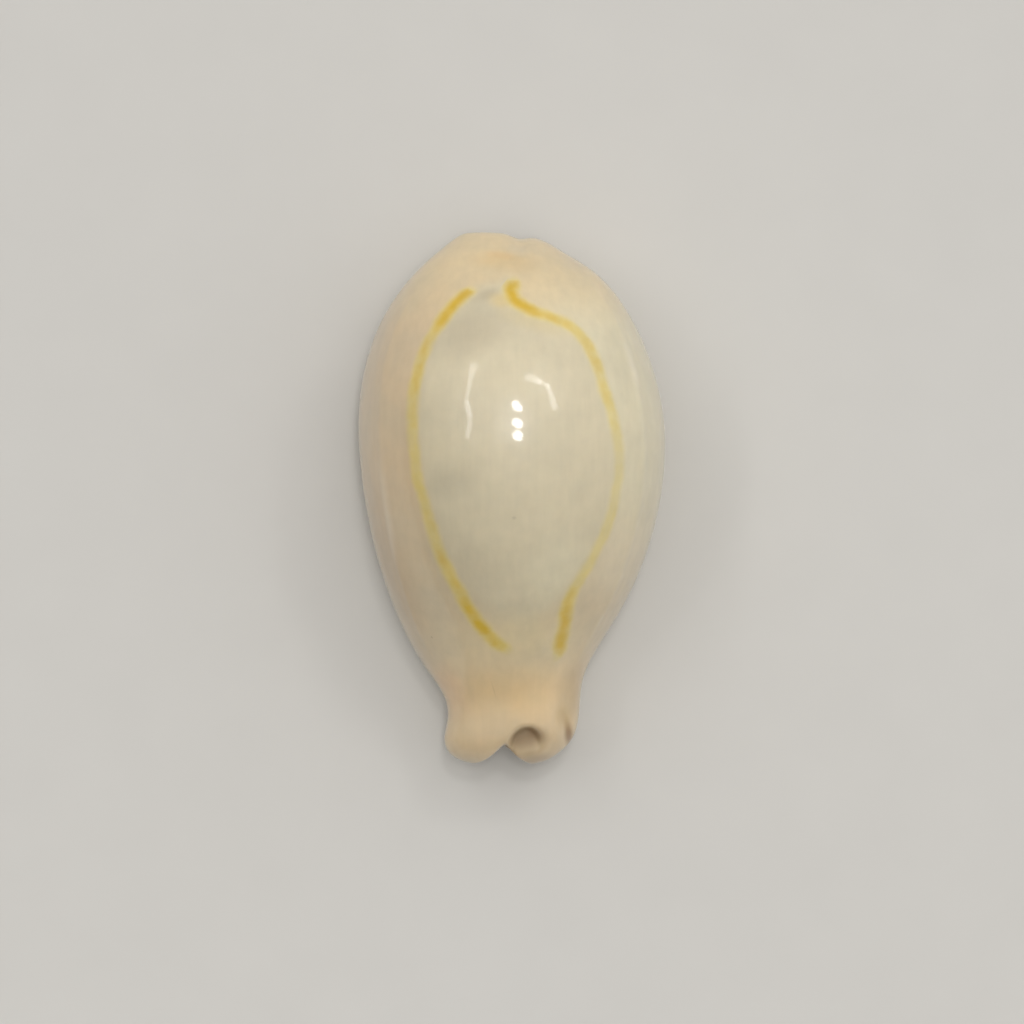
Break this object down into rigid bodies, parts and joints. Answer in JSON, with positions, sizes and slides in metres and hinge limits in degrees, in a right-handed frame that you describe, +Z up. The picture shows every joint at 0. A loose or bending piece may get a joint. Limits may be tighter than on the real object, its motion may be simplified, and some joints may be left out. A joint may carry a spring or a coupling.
{
  "type": "cowrie shell",
  "caption": "Glossy egg-shaped cowrie shell with a broken golden ring on its domed back, a lobed canal end and a toothed slit underneath; lies on its flattened underside.",
  "frame": {"origin": "under the middle of the shell's outline, on the surface that it lies on", "axes": "+Y along the shell towards the blunt spire end, +Z up through the domed back, the outer lip on the -X side"},
  "size_m": [0.015, 0.026, 0.012],
  "materials": {
    "shell": "gloss"
  },
  "bodies": {
    "root": {"shell": "shell"}
  },
  "joints": []
}
